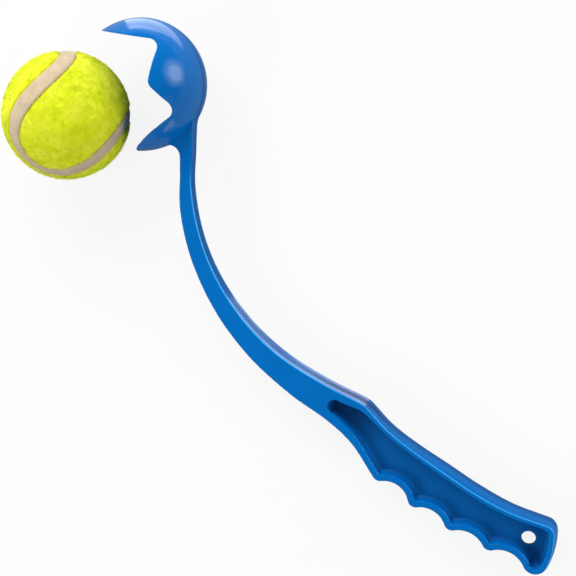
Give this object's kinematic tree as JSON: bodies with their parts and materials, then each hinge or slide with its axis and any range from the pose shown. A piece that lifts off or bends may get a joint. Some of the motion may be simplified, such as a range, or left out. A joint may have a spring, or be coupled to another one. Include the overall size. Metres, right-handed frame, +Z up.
{
  "type": "dog ball thrower",
  "caption": "Hand-held ball thrower for dogs: a clawed spherical cup on a bowed stem with a finger grip and hang hole, with a felt tennis ball lying beside the cup.",
  "frame": {"origin": "centre of the bounding box at the table the thrower and the ball lie on", "axes": "+X along the thrower from the cup to the hand end, +Y from the ball towards the back of the cup, +Z up off the table"},
  "size_m": [0.3826, 0.1106, 0.0669],
  "materials": {
    "blue_plastic": "moulded plastic, satin gloss, blue",
    "felt": "napped wool and nylon felt, yellow-green",
    "seam_rubber": "matt rubber, beige",
    "core_rubber": "matt moulded rubber, dark grey"
  },
  "bodies": {
    "thrower": {"thrower_body": "blue_plastic"},
    "ball": {"core_half_a": "core_rubber", "core_half_b": "core_rubber", "felt_panel_a": "felt", "felt_panel_b": "felt", "seam_band": "seam_rubber"}
  },
  "joints": [
    {"name": "ball_seat", "type": "slide", "parent": "thrower", "child": "ball", "axis": [0.284, 0.9527, -0.108], "range_m": [0, 0.04366], "deforming": ["felt_panel_a", "felt_panel_b", "seam_band"]}
  ]
}
